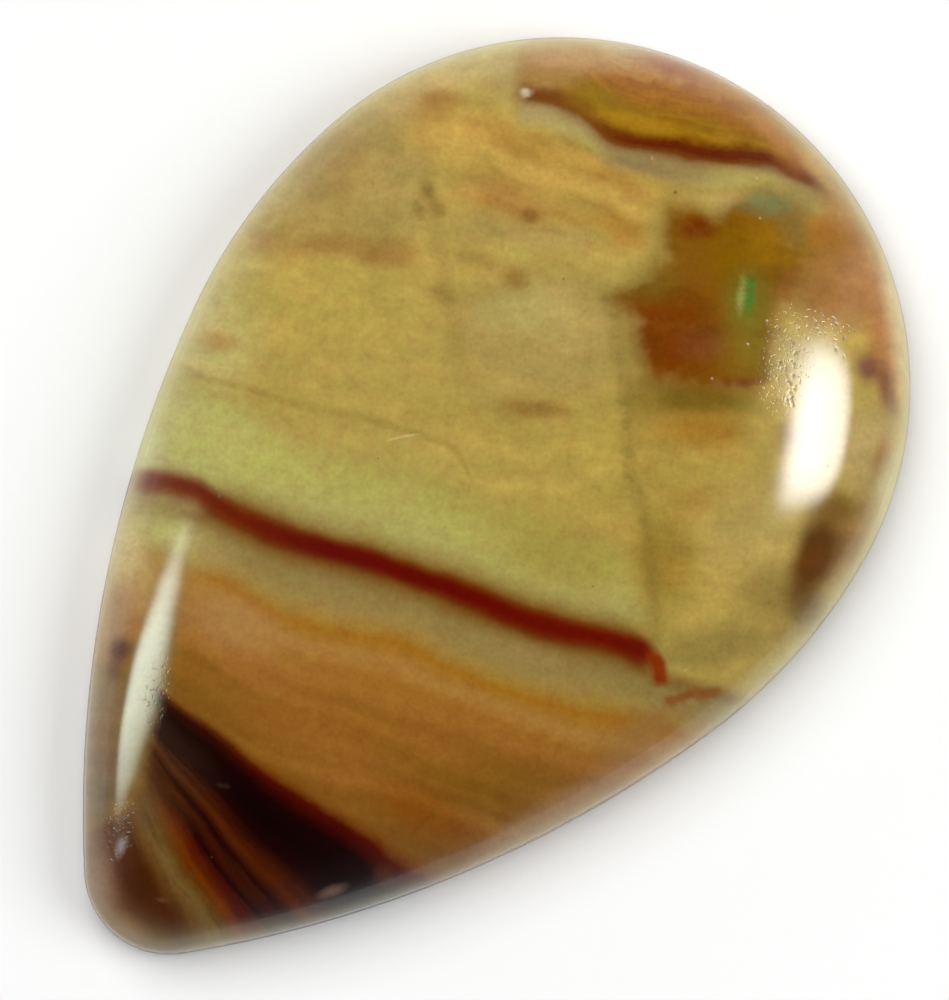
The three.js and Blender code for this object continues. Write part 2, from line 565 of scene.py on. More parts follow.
def makeStone():
    rings = stoneRings()
    count = len(rings[0]["points"])
    points = np.vstack([ring["points"] for ring in rings] + [[*peak, 0], [*peak, thickness]])
    sheets = np.vstack([ring["sheet"] for ring in rings] + [peak, peak])
    ground = np.concatenate([np.full(count, ring["ground"]) for ring in rings] + [[1.0, 0.0]])
    backMiddle = len(points) - 2
    top = len(points) - 1
    here = np.arange(count)
    after = (here + 1) % count
    faces = [(backMiddle, int(b), int(a)) for a, b in zip(here, after)]
    for low in range(0, (len(rings) - 1) * count, count):
        faces += np.c_[low + here, low + after, low + count + after, low + count + here].tolist()
    last = (len(rings) - 1) * count
    faces += [(top, int(last + a), int(last + b)) for a, b in zip(here, after)]
    onBack = count * (1 + form["backRings"])

    mesh = bpy.data.meshes.new("polishedStone")
    mesh.from_pydata((points * mm).tolist(), [], faces)
    loops = np.zeros(len(mesh.loops), int)
    mesh.loops.foreach_get("vertex_index", loops)
    sizes = np.zeros(len(mesh.polygons), int)
    mesh.polygons.foreach_get("loop_total", sizes)
    behind = np.repeat(np.arange(len(sizes)) < onBack, sizes)
    spots = sheets[loops].copy()
    spots[behind] = points[loops[behind], :2]
    margin = form["mapMargin"]
    corner = sheets.min(0) - margin
    spots[behind, 0] += sheets.max(0)[0] + 2 * margin + form["arcRadii"][0]
    side = 2 * sheets.max(0)[0] + 4 * margin + 2 * form["arcRadii"][0]
    layer = mesh.uv_layers.new(name="OFBake")
    layer.data.foreach_set("uv", ((spots - corner) / side).astype(np.float32).ravel())
    keep(mesh, "ground", ground)
    cutPits(mesh, pitList())
    mesh.polygons.foreach_set("use_smooth", [True] * len(mesh.polygons))
    return mesh


def keep(mesh, name, values):
    # what each point of the mesh carries for the material: a number, a place or a colour
    kinds = {1: ("FLOAT", "value"), 3: ("FLOAT_VECTOR", "vector"), 4: ("FLOAT_COLOR", "color")}
    kind, field = kinds[1 if values.ndim == 1 else values.shape[1]]
    layer = mesh.attributes.new(name, kind, "POINT")
    layer.data.foreach_set(field, values.astype(np.float32).ravel())


stoneMesh = makeStone()
stone = placed("jasperCabochon", stoneMesh)
triangles = sum(len(face.vertices) - 2 for face in stoneMesh.polygons)
print("stone:", triangles, "triangles")


# The layers of the rock. Depth slants them, so that the markings run on through the stone.
strata = {
    "slantRight": 0.10,
    "slantDown": -0.32,
    "waves": [(110, 2.2, 20, 30), (36, 0.5, 21, 31)],  # of every edge: size, push and seeds
    "fine": (16, 2, 0.6),  # size, detail and roughness of the noises
    "grit": (5, 2, 0.7),
    "coarse": (34, 2, 0.6),
    "streak": (19, 0.6),
    "coarseWay": (0.5, 0.17),  # how it is drawn out along the picture's right, and its slope
    "streakWay": 0.05,
}

# The pale mottled ground, in the picture's colours. A layer, here and below, is a tint, its strength,
# and where it starts and is full along a noise or a distance.
ground = {
    "colour": (178, 153, 75),
    "darkCloud": ((0.72, 0.72, 0.78), 0.36, 0.46, 0.74),  # the clouds multiply the colour
    "paleCloud": ((1.38, 1.33, 1.36), 0.4, 0.52, 0.26),
    "goldLight": ((200, 160, 76), 0.4, 0.45, 0.7),
    "goldDark": ((158, 114, 50), 0.45, 0.54, 0.32),
    "goldWay": (20, 0.3),  # size of the gold's waves, and how they are drawn out
    "wander": (16, 10),  # how far the coarse and the fine noise push the lines
    "arcWander": 0.7,
    "oliveWander": 6,
    "broken": (0.4, 0.64, 0.35),  # where the cracks are faintest and whole, and how faint
    "ovals": [  # middle, size, turn, softness, colour, strength
        # greyer and paler towards the upper left rim, gold beside the cap
        ((212, 335), (46, 90), 20, 0.6, (192, 180, 110), 0.8),
        ((310, 160), (70, 50), -40, 0.6, (174, 152, 90), 0.8),
        ((350, 156), (60, 30), -10, 0.8, (160, 128, 68), 0.7),
        ((425, 90), (56, 26), -20, 0.7, (188, 160, 92), 0.8),
        ((480, 66), (36, 16), 0, 0.7, (190, 168, 102), 0.8),
        ((505, 74), (16, 30), 0, 0.7, (174, 150, 92), 0.8),
        ((396, 170), (34, 52), 0, 0.7, (166, 142, 80), 0.8),
        ((350, 222), (60, 20), 0, 0.7, (164, 138, 74), 0.8),
        ((463, 142), (50, 24), 0, 0.6, (198, 162, 78), 0.85),
        ((310, 300), (90, 40), 6, 0.7, (184, 160, 76), 0.6),
        # the streaked gold bands under the cap
        ((505, 200), (46, 15), 8, 0.7, (168, 126, 62), 0.75),
        ((560, 170), (90, 26), 18, 0.7, (174, 134, 58), 0.9),
        ((622, 228), (26, 16), 40, 0.7, (174, 130, 52), 0.8),
        ((545, 238), (40, 12), 6, 0.7, (168, 144, 82), 0.7),
        ((484, 230), (30, 16), 0, 0.8, (166, 140, 76), 0.8),
        ((515, 257), (22, 8), 0, 0.7, (176, 160, 78), 0.7),
        # the pale rounded cell in the middle and its browner border
        ((545, 335), (92, 64), 0, 0.45, (162, 137, 70), 0.7),
        ((546, 337), (78, 52), 0, 0.4, (170, 147, 80), 0.9),
        ((524, 312), (44, 20), 0, 0.7, (182, 164, 95), 0.8),
        ((480, 424), (70, 14), 6, 0.7, (168, 142, 66), 0.6),
        ((604, 452), (30, 26), 0, 0.7, (182, 160, 74), 0.7),
        ((652, 452), (20, 24), 0, 0.8, (162, 124, 58), 0.5),
        ((533, 411), (32, 9), 4, 0.7, (146, 106, 48), 0.8),
        ((590, 530), (34, 10), 8, 0.7, (168, 126, 58), 0.6),
        # orange and reddish patches and spots
        ((440, 104), (20, 13), 0, 0.7, (168, 124, 56), 0.95),
        ((432, 122), (14, 8), 0, 0.7, (166, 120, 56), 0.6),
        ((320, 248), (92, 15), 4, 0.8, (176, 138, 70), 0.6),
        ((217, 341), (20, 9), 0, 0.7, (174, 130, 62), 0.7),
        ((384, 256), (30, 15), 8, 0.7, (150, 108, 54), 0.65),
        ((333, 245), (18, 9), 0, 0.8, (150, 110, 54), 0.6),
        ((266, 246), (18, 8), 0, 0.8, (160, 122, 66), 0.6),
        ((786, 440), (13, 13), 0, 0.8, (124, 86, 50), 0.9),
        ((332, 192), (26, 9), -10, 0.7, (154, 122, 66), 0.5),
        ((529, 217), (9, 8), 0, 0.6, (108, 80, 32), 0.9),
        ((514, 281), (14, 10), 30, 0.7, (142, 106, 46), 0.75),
        ((488, 157), (6, 5), 0, 0.7, (140, 110, 50), 0.7),
        ((431, 193), (10, 6), 60, 0.7, (130, 104, 46), 0.8),
        ((421, 210), (9, 6), 60, 0.7, (132, 108, 50), 0.7),
        ((441, 209), (9, 8), 60, 0.7, (136, 110, 50), 0.7),
        ((446, 300), (16, 10), 20, 0.7, (140, 116, 56), 0.6),
        ((478, 262), (22, 8), 20, 0.7, (154, 122, 60), 0.6),
        # the right side, under the rust-coloured block
        ((720, 480), (110, 90), 20, 0.7, (172, 146, 68), 0.7),
        ((722, 196), (34, 14), 8, 0.8, (176, 152, 88), 0.6),
        ((690, 400), (54, 18), 4, 0.7, (112, 86, 18), 0.95),
        ((645, 400), (16, 26), 0, 0.7, (150, 120, 50), 0.7),
        ((700, 432), (40, 18), 0, 0.7, (160, 116, 42), 0.9),
        ((700, 500), (34, 12), 10, 0.7, (158, 122, 52), 0.6),
        ((746, 530), (48, 44), 0, 0.7, (180, 156, 84), 0.75),
        ((660, 560), (30, 44), 0, 0.7, (150, 120, 44), 0.8),
        ((764, 592), (30, 26), -20, 0.7, (152, 126, 64), 0.8),
        ((715, 645), (64, 18), -10, 0.7, (146, 126, 64), 0.85),
        # the pinkish brown right rim, paler lower down, with the dark blotches
        ((838, 236), (44, 52), 30, 0.6, (154, 102, 36), 0.95),
        ((728, 217), (14, 14), 0, 0.9, (152, 126, 80), 0.7),
        ((850, 292), (40, 36), 0, 0.6, (164, 118, 70), 0.95),
        ((812, 290), (24, 30), 0, 0.7, (154, 108, 54), 0.9),
        ((842, 206), (22, 20), 30, 0.8, (170, 128, 68), 0.7),
        ((882, 330), (18, 70), -4, 0.6, (176, 120, 64), 0.9),
        # painted pale sheen along the right edge, for the bright room mirrored there
        ((897, 322), (9, 60), -6, 0.9, (214, 186, 132), 0.7),
        ((864, 368), (13, 13), 0, 0.7, (124, 74, 60), 0.9),
        ((884, 392), (9, 26), -10, 0.7, (126, 76, 44), 0.9),
        ((866, 450), (28, 44), 10, 0.7, (176, 154, 96), 0.85),
        ((868, 505), (18, 36), 16, 0.7, (170, 142, 84), 0.8),
        ((880, 458), (8, 16), 10, 0.7, (152, 104, 46), 0.7),
        ((888, 484), (11, 26), 14, 0.8, (206, 194, 142), 0.6),
        ((846, 546), (18, 34), 26, 0.7, (142, 104, 54), 0.85),
        ((808, 610), (20, 22), -30, 0.7, (126, 102, 56), 0.85),
        ((812, 556), (22, 50), 20, 0.55, (92, 52, 0), 0.97),
        ((834, 508), (20, 14), 10, 0.7, (118, 82, 26), 0.8),
    ],
    "gold": [  # where it is streaked with gold: middle, size, turn, softness, strength
        ((548, 186), (112, 50), 20, 0.4, 1.0),
        ((456, 140), (50, 40), 0, 0.5, 0.6),
    ],
}

# The bands on both sides of the red vein, in pixels below its middle line
bands = {
    "line": [
        (60, 478), (110, 478), (138, 480), (167, 480), (201, 488), (232, 508), (264, 527), (297, 540),
        (340, 553), (373, 561), (400, 568), (418, 575), (440, 586), (460, 594), (495, 608), (541, 623),
        (575, 634), (610, 640), (640, 646), (700, 668), (780, 694), (949, 750),
    ],
    "colours": [
        (-140, (172, 150, 73)), (-118, (170, 152, 76)), (-90, (170, 156, 78)), (-66, (176, 166, 86)),
        (-42, (174, 164, 91)), (-30, (161, 146, 80)), (-24, (153, 133, 70)), (-17, (136, 104, 48)),
        (-10, (120, 74, 28)), (10, (108, 58, 20)), (17, (120, 80, 32)), (24, (133, 106, 52)),
        (32, (143, 120, 66)), (44, (147, 125, 68)), (56, (157, 129, 68)), (66, (160, 124, 54)),
        (77, (159, 108, 32)), (86, (162, 114, 44)), (95, (167, 121, 57)), (104, (166, 119, 53)),
        (114, (157, 107, 40)), (126, (162, 108, 45)), (142, (151, 100, 39)), (168, (140, 93, 31)),
        (200, (130, 87, 30)), (270, (122, 82, 30)),
    ],
    "wander": 5,
    "body": (96, 150),  # where its streaks start and are full
    "light": ((178, 120, 52), 0.44, 0.4, 0.8),
    "dark": ((126, 78, 24), 0.38, 0.6, 0.2),
    "upper": (-134, -84),  # where the bands over the vein start and are full
    "upperWander": 18,
    "end": (630, 672),  # and where they end on the right
    "endSlope": 0.35,
    "lower": (4, 26),  # where those under it start and are full
    "ovals": [
        ((190, 440), (60, 44), 14, 0.6, (190, 184, 112), 0.75),
        ((140, 450), (20, 30), 0, 0.7, (200, 202, 146), 0.7),
        ((250, 452), (70, 26), 16, 0.7, (183, 176, 92), 0.7),
        ((150, 500), (46, 9), 4, 0.7, (170, 148, 96), 0.6),
        ((128, 550), (30, 38), 0, 0.7, (206, 186, 120), 0.8),
        ((190, 545), (40, 20), 20, 0.7, (172, 152, 90), 0.7),
        ((170, 530), (26, 14), 14, 0.8, (190, 182, 112), 0.8),
        ((140, 594), (16, 20), 0, 0.8, (184, 146, 90), 0.7),
        ((232, 622), (50, 24), 20, 0.7, (172, 128, 74), 0.7),
        ((115, 620), (16, 40), 0, 0.7, (168, 132, 92), 0.8),
        ((148, 690), (20, 110), 14, 0.6, (124, 112, 60), 0.85),
        ((106, 700), (18, 34), 0, 0.7, (134, 110, 74), 0.8),
        ((104, 765), (18, 34), 0, 0.7, (122, 98, 70), 0.8),
        ((100, 806), (14, 28), 4, 0.8, (106, 94, 76), 0.6),
        ((123, 650), (10, 14), 20, 0.7, (84, 42, 18), 0.9),
        ((116, 672), (8, 10), 20, 0.7, (96, 66, 26), 0.7),
        ((560, 556), (60, 30), 14, 0.7, (160, 144, 66), 0.8),
        ((520, 650), (50, 12), 18, 0.8, (156, 130, 76), 0.6),
        # the browner and redder lower end of the body
        ((500, 782), (60, 20), 4, 0.9, (118, 80, 24), 0.5),
        ((330, 745), (80, 30), 30, 0.8, (154, 100, 40), 0.7),
        ((428, 812), (50, 20), 30, 0.8, (134, 74, 20), 0.7),
        ((640, 730), (44, 14), -34, 0.7, (150, 110, 56), 0.7),
        ((560, 806), (90, 14), -32, 0.7, (156, 116, 74), 0.8),
    ],
}

# The dark fan at the pointed end: streaks that open out from one point, in degrees clockwise
# from the picture's right, with one run of colours near that point and one towards the lower rim
fan = {
    "point": (30, 610),
    "topEdge": [(100, 26.5), (150, 29.5), (195, 31.0), (250, 32.2), (300, 33.0), (370, 32.6), (450, 33.4)],
    "side": [(660, 164), (700, 160), (745, 152), (800, 136), (825, 110), (850, 60)],  # down, right
    # lighter and greyer than the far run, partly painted sheen from the left highlight's halo
    "near": [
        (-2.5, (122, 82, 36)), (0, (94, 44, 16)), (2.5, (48, 20, 8)), (5.5, (34, 18, 12)), (9, (44, 28, 22)),
        (12.5, (50, 30, 22)), (15, (84, 52, 30)), (17, (60, 32, 17)), (19, (84, 48, 22)), (22, (84, 54, 28)),
        (26, (106, 79, 48)), (30, (116, 90, 54)), (35, (98, 64, 36)), (40, (112, 72, 50)),
    ],
    "far": [
        (-2.5, (124, 74, 24)), (-1, (118, 56, 14)), (1, (80, 20, 3)), (4, (30, 6, 2)), (8, (24, 8, 3)),
        (11, (32, 10, 3)), (13, (64, 25, 7)), (15, (84, 35, 13)), (16.8, (40, 12, 5)), (18.6, (62, 25, 10)),
        (20.2, (38, 12, 4)), (22, (82, 26, 3)), (24, (110, 50, 10)), (26, (102, 68, 24)), (28, (116, 90, 46)),
        (30.5, (104, 68, 28)), (33, (76, 36, 8)), (38, (96, 54, 26)), (50, (132, 84, 54)),
    ],
    "nearEnds": (190, 290),  # how far from the point the second run of colours takes over
    "rays": (1.8, 0.02, 1.4),  # width in degrees, how they are drawn out, and their push
    "light": ((96, 50, 24), 0.3, 0.55, 0.8),
    "lightFrom": (8, 16),
    "dark": ((24, 10, 6), 0.3, 0.5, 0.25),
    "darkFrom": (8, 14),
    "top": (-2.0, 1.4),  # where its top edge starts and is full
    "topWander": 2,
    "sideSoft": 12,
    "sideWander": 16,
    "ovals": [
        ((100, 890), (15, 30), 10, 0.8, (138, 102, 78), 0.8),
        ((140, 884), (17, 30), -24, 0.8, (68, 34, 12), 0.8),
        ((160, 915), (18, 14), 30, 0.7, (78, 38, 14), 0.7),
        ((120, 925), (30, 12), 30, 0.7, (138, 94, 66), 0.7),
        ((332, 889), (11, 4), -24, 1.0, (138, 108, 96), 0.6),
        ((226, 785), (6, 2), 8, 0.9, (96, 66, 56), 0.35),
        ((163, 898), (4, 2), 10, 0.9, (140, 100, 72), 0.35),
        # painted glint: where the left highlight breaks up on the grainy tip
        ((124, 848), (4, 9), 24, 1.0, (186, 178, 174), 0.5),
        ((386, 872), (10, 10), 20, 0.7, (92, 50, 30), 0.5),
    ],
}

# The cap across the round end: colours by the height above its dark lower line
cap = {
    "line": [
        (505, 95), (531, 98), (547, 99), (562, 103), (578, 110), (592, 121), (602, 134), (614, 144),
        (643, 149), (664, 151), (684, 155), (705, 159), (745, 161), (766, 163), (782, 171), (798, 179),
        (818, 187), (900, 225),
    ],
    "round": 5,  # how far the line's corners are rounded
    "colours": [
        (-56, (170, 136, 58)), (-42, (156, 126, 54)), (-28, (170, 152, 84)), (-18, (156, 134, 82)),
        (-11, (138, 108, 66)), (-6, (112, 62, 22)), (-1, (98, 36, 4)), (4, (100, 40, 0)), (9, (122, 74, 6)),
        (14, (138, 98, 10)), (28, (138, 100, 16)), (38, (148, 100, 26)), (50, (152, 98, 34)),
        (62, (160, 106, 44)), (76, (180, 136, 78)), (92, (188, 158, 118)),
    ],
    "wander": 7,
    "layers": (10, 0.2, 0.04),  # size, how they are drawn out, and slope
    "inside": (8, 16),  # where its streaks start and are full
    "light": ((184, 130, 44), 0.3, 0.48, 0.72),
    "dark": ((130, 74, 26), 0.35, 0.5, 0.28),
    "thinLine": ((124, 76, 24), 0.5, 640, 590),
    "thinHalf": (1, 12),
    "halo": (-44, -22),  # the greyish halo under its line, and where that ends on the right
    "haloEnd": (800, 836),
    "upper": (2, 12),  # where the cap is full without the halo
    "side": ((150, 122, 76), 0.3, 8, 0),
    "sideFrom": (-24, 0),
    "sideSoft": 12,
    "sideWander": 10,
    "ovals": [
        ((560, 60), (50, 16), 4, 0.7, (184, 144, 92), 0.9),
        ((545, 82), (30, 10), 6, 0.7, (166, 128, 70), 0.8),
        ((672, 68), (44, 11), 20, 0.8, (148, 72, 52), 0.85),
        ((606, 112), (44, 14), 25, 0.8, (142, 110, 30), 0.7),
        ((548, 126), (34, 12), 20, 0.7, (176, 158, 100), 0.7),
        ((644, 174), (44, 10), 10, 0.8, (140, 116, 76), 0.95),
        ((752, 184), (40, 7), 14, 0.9, (178, 160, 88), 0.7),
        ((640, 128), (40, 8), 12, 0.7, (172, 126, 28), 0.6),
        ((790, 160), (22, 14), 40, 0.7, (158, 104, 40), 0.7),
        ((734, 126), (34, 9), 20, 0.7, (152, 96, 22), 0.6),
        # painted glint beside the named pit at the line's left end
        ((524, 97), (6, 5), 0, 0.5, (206, 186, 150), 0.8),
        ((768, 133), (26, 10), 40, 0.7, (188, 124, 50), 0.6),
        ((814, 168), (22, 9), 50, 0.8, (200, 150, 84), 0.6),
        ((728, 92), (24, 8), 30, 0.8, (176, 110, 46), 0.5),
    ],
}

# The rust-coloured block: its outline is a distance from one point at each angle
block = {
    "middle": (715, 290),
    "outline": [  # degrees clockwise from the picture's right, and the distance in pixels
        (-180, 86), (-174, 72), (-148, 55), (-120, 95), (-110, 88), (-101, 78), (-90, 66), (-81, 76),
        (-73, 98), (-54, 116), (-42, 120), (-28, 100), (-7, 84), (18, 68), (48, 82), (61, 104), (68, 110),
        (89, 102), (101, 103), (113, 102), (127, 112), (137, 102), (155, 86), (174, 100), (180, 86),
    ],
    "round": 3,
    "ripple": (18, 1.5, 41),  # size, push and seed
    "wander": (18, 10),
    "soft": 15,
    "halo": ((132, 108, 50), 0.45, -30, -4),
    "haloEnd": (680, 730),
    "dark": ((96, 50, 8), 0.4, 0.46, 0.7),
    "light": ((146, 104, 34), 0.25, 0.6, 0.25),
    "colour": (126, 84, 20),
    "ovals": [
        ((666, 338), (52, 46), 20, 0.7, (116, 54, 2), 0.97),
        ((704, 344), (24, 14), 0, 0.8, (124, 72, 38), 0.7),
        ((734, 262), (30, 38), 0, 0.8, (126, 88, 10), 0.85),
        ((748, 342), (26, 34), 0, 0.9, (132, 110, 32), 0.85),
        ((774, 248), (30, 26), 10, 0.7, (148, 106, 18), 0.9),
        ((790, 300), (14, 30), 10, 0.7, (152, 102, 50), 0.8),
        ((770, 205), (36, 12), 4, 0.8, (118, 122, 76), 0.95),
        ((648, 286), (26, 14), -10, 0.8, (122, 98, 30), 0.8),
        ((794, 228), (15, 20), 0, 0.8, (130, 104, 50), 0.8),
        ((746, 306), (22, 30), 0, 0.7, (112, 108, 34), 0.8),
        ((747, 299), (6, 18), 2, 0.6, (62, 124, 46), 0.9),
        # painted glint: the pale left edge of the green grain
        ((738, 300), (3.5, 17), 4, 0.7, (160, 168, 92), 0.7),
        ((738, 386), (28, 7), 3, 0.7, (114, 56, 28), 0.85),
        ((697, 232), (17, 12), 0, 0.7, (112, 44, 6), 0.95),
    ],
}

# Thin lines: the way each runs, its half width and soft edge, where it starts and ends, and how far
# its corners are rounded. The cap's side only bounds the cap.
lineEnd = 6  # how far to both sides of its start and end a line fades
lines = {
    "offCrack": {
        "way": "down", "half": 1, "soft": 13, "runs": (300, 640), "round": 7,
        "tint": (124, 102, 48), "strength": 0.6,
        "points": [
            (296, 609), (340, 616), (380, 623), (411, 627), (468, 625), (484, 636), (524, 646),
            (556, 648), (632, 655),
        ],
    },
    "offCell": {
        "way": "down", "half": 1, "soft": 14, "runs": (128, 390), "round": 7,
        "tint": (136, 112, 54), "strength": 0.36,
        "points": [(126, 419), (205, 434), (250, 440), (330, 455), (392, 466)],
    },
    "offCapSide": {"way": "down", "round": 7, "points": [(38, 521), (80, 517), (124, 514)]},
    "offHook": {
        "way": "down", "half": 3, "soft": 9, "runs": (648, 680), "round": 3,
        "tint": (134, 46, 6), "strength": 0.95,
        "points": [(640, 646), (650, 652), (662, 658), (680, 660)],
    },
    "offGoldArc": {
        "way": "right", "half": 1, "soft": 15, "runs": (410, 636), "round": 7,
        "tint": (200, 166, 82), "strength": 0.55,
        "points": [
            (400, 142), (423, 144), (450, 147), (480, 150), (518, 170), (573, 186), (611, 199),
            (634, 218),
        ],
    },
    "offBrownArc": {
        "way": "right", "half": 1, "soft": 13, "runs": (480, 640), "round": 7,
        "tint": (162, 116, 50), "strength": 0.5,
        "points": [(470, 196), (486, 202), (524, 212), (565, 218), (600, 224), (640, 240)],
    },
    "offThinVein": {
        "way": "right", "half": 1, "soft": 9, "runs": (664, 720), "round": 3,
        "tint": (136, 78, 34), "strength": 0.9,
        "points": [(650, 697), (664, 698), (673, 700), (688, 693), (704, 694), (722, 690), (740, 691)],
    },
    "offOliveVein": {
        "way": "right", "half": 0.5, "soft": 7, "runs": (176, 470), "round": 7,
        "tint": (146, 122, 50), "strength": 0.4,
        "points": [
            (170, 363), (188, 369), (202, 376), (242, 388), (294, 404), (334, 414), (385, 427),
            (406, 435), (434, 441), (457, 453), (474, 486),
        ],
    },
    "offScratch": {
        "way": "right", "half": 0.4, "soft": 1.6, "runs": (390, 417), "round": 2,
        "tint": (214, 206, 150), "strength": 0.35,
        "points": [(386, 447), (391, 445), (416, 439), (422, 437)],
    },
}


def drawn(wanted, points, soft=7):
    # a line drawn through these points, its corners rounded over soft to each side
    xs, ys = zip(*points)
    return sum(np.interp(wanted + step * soft, xs, ys) for step in (-1, -0.5, 0, 0.5, 1)) / 5


def smooth(values, low, high):
    share = np.clip((values - low) / (high - low), 0, 1)
    return share * share * (3 - 2 * share)


def ovalMask(right, down, middle, size, turn, soft, strength):
    angle = radians(turn)
    x, y = right - middle[0], down - middle[1]
    along = (x * cos(angle) + y * sin(angle)) / size[0]
    across = (y * cos(angle) - x * sin(angle)) / size[1]
    return (1 - smooth(np.hypot(along, across), 1 - soft, 1 + soft)) * strength


def masked(right, down, ovals):
    # soft ovals without a colour, taken together
    mask = 0
    for oval in ovals:
        alone = ovalMask(right, down, *oval)
        mask = alone + mask * (1 - alone)
    return mask


def painted(right, down, colour, ovals):
    # a ground colour with soft ovals of other colours laid over it in turn
    colours = np.tile(np.array(paint(colour)), (len(right), 1))
    for *shape, tint, strength in ovals:
        mask = ovalMask(right, down, *shape, strength)
        colours = colours + (np.array(paint(tint)) - colours) * mask[:, None]
    return colours


def overlay(right, down, ovals):
    # soft ovals of colour with how strong they are together, to lay over something else
    colours = np.zeros((len(right), 4))
    for *shape, tint, strength in ovals:
        mask = ovalMask(right, down, *shape, strength)
        rest = colours[:, 3] * (1 - mask)
        total = np.maximum(mask + rest, 1e-6)
        both = np.array(paint(tint))[:3] * mask[:, None] + colours[:, :3] * rest[:, None]
        colours[:, :3] = both / total[:, None]
        colours[:, 3] = mask + rest
    return colours


def layOut(mesh, holes):
    places = pointsOf(mesh)
    deep = np.maximum(domeHeight(places[:, 0], places[:, 1]) - places[:, 2], 0)
    deep[isDome(places)] = 0
    scale, middle = picture["pixelsPerMm"], picture["stoneMiddle"]
    right = places @ np.array(pictureRight) * scale + middle[0] + deep * scale * strata["slantRight"]
    down = middle[1] - places @ np.array(pictureUp) * scale + deep * scale * strata["slantDown"]
    spots = np.c_[right, down, deep * scale]
    keep(mesh, "spot", spots)
    keep(mesh, "grainSpot", np.c_[places[:, :2], deep])
    for size, push, rightSeed, downSeed in strata["waves"]:
        right = right + push * waves(spots, size, rightSeed)
        down = down + push * waves(spots, size, downSeed)
    keep(mesh, "right", right)
    keep(mesh, "below", down - drawn(right, bands["line"]))
    x, y = right - fan["point"][0], down - fan["point"][1]
    away = np.hypot(x, y)
    keep(mesh, "fanTurn", np.degrees(np.arctan2(y, x)) - drawn(away, fan["topEdge"]))
    keep(mesh, "fanAway", away)
    keep(mesh, "fanSide", right - drawn(down, fan["side"]))
    keep(mesh, "pitted", masked(right, down, pits["pitted"]))
    # painted pale sheen over the dome's foot, for the room mirrored in the steep edge and light through the
    # thin edge; the same share dulls the polish there
    keep(mesh, "rim", rimSheenAndDull(places))
    keep(mesh, "capHeight", drawn(right, cap["line"], cap["round"]) - down)
    x, y = right - block["middle"][0], down - block["middle"][1]
    reach = drawn(np.degrees(np.arctan2(y, x)), block["outline"], block["round"])
    size, push, seed = block["ripple"]
    keep(mesh, "inBlock", reach - np.hypot(x, y) + push * waves(spots, size, seed))
    ways = {"down": (down, right), "right": (right, down)}
    for name, line in lines.items():
        along, across = ways[line["way"]]
        keep(mesh, name, across - drawn(along, line["points"], line["round"]))
    keep(mesh, "down", down)
    keep(mesh, "inGold", masked(right, down, ground["gold"]))
    keep(mesh, "groundTint", painted(right, down, ground["colour"], ground["ovals"]))
    keep(mesh, "blockTint", painted(right, down, block["colour"], block["ovals"]))
    # the ovals of the bands, the cap and the fan are laid over ramps, so they keep their strength as alpha
    for name, layer in (("bandOvals", bands), ("capOvals", cap), ("fanOvals", fan)):
        keep(mesh, name, overlay(right, down, layer["ovals"]))
    # specks: over 0 for the painted glints of the named pits, under 0 for the dark pits
    speck = np.zeros(len(places))
    for number, (pitX, pitY, radius, _) in enumerate(holes):
        away = np.hypot(places[:, 0] - pitX, places[:, 1] - pitY) / radius
        mark = np.clip(pits["reach"] - away, 0, 1) * (1 if number < len(pits["named"]) else -1)
        speck = np.where((deep == 0) & (np.abs(mark) > np.abs(speck)), mark, speck)
    keep(mesh, "speck", speck)


layOut(stoneMesh, pitList())
print("markings: laid out on", len(stoneMesh.vertices), "points")


def held(name, out=2):
    return Wire.node("Attribute", {"attribute_name": name}, None, out)


def ramp(wire, stops):
    # colours at places along a wire, from the lowest to the highest
    low, span = stops[0][0], stops[-1][0] - stops[0][0]
    shares = [((at - low) / span, paint(colour)) for at, colour in stops]
    return Wire.node("ValToRGB", {"stops": shares}, {0: (wire - low) / span})


def over(colour, name):
    # the ovals that the mesh carries under this name, laid over a colour
    return mixed(colour, held(name, 0), held(name, 3))


def laid(colour, layer, wire, share=1, way="MIX"):
    # a layer over a colour, along a wire, and as much of it as share says
    tint, strength, start, full = layer
    mask = rising(wire, start, full) if start < full else falling(wire, full, start)
    return mixed(colour, paint(tint) if way == "MIX" else (*tint, 1), mask * share * strength, way)


def threaded(colour, name, wobble=0, share=1):
    # a thin line over a colour; wobble pushes it about and share breaks it up
    line = lines[name]
    along = held(line["way"])
    start, end = line["runs"]
    ends = rising(along, start - lineEnd, start + lineEnd) * falling(along, end - lineEnd, end + lineEnd)
    mask = falling(abs(held(name) + wobble), line["half"], line["half"] + line["soft"]) * ends
    return mixed(colour, paint(line["tint"]), mask * share * line["strength"])


def groundColour(fine, coarse, right):
    colour = laid(held("groundTint", 0), ground["darkCloud"], coarse, 1, "MULTIPLY")
    colour = laid(colour, ground["paleCloud"], coarse, 1, "MULTIPLY")
    wander = (coarse - 0.5) * ground["wander"][0] + (fine - 0.5) * ground["wander"][1]
    arcWander = wander * ground["arcWander"]
    size, stretch = ground["goldWay"]
    wave = noise(vector(right * stretch, held("offGoldArc") + arcWander, 0.0), size, 1)
    for name in ("goldLight", "goldDark"):
        colour = laid(colour, ground[name], wave, held("inGold"))
    for name in ("offGoldArc", "offBrownArc"):
        colour = threaded(colour, name, arcWander)
    faint, whole, left = ground["broken"]
    broken = rising(fine, faint, whole) * (1 - left) + left
    for name in ("offCrack", "offCell"):
        colour = threaded(colour, name, wander, broken)
    return threaded(colour, "offOliveVein", (fine - 0.5) * ground["oliveWander"])


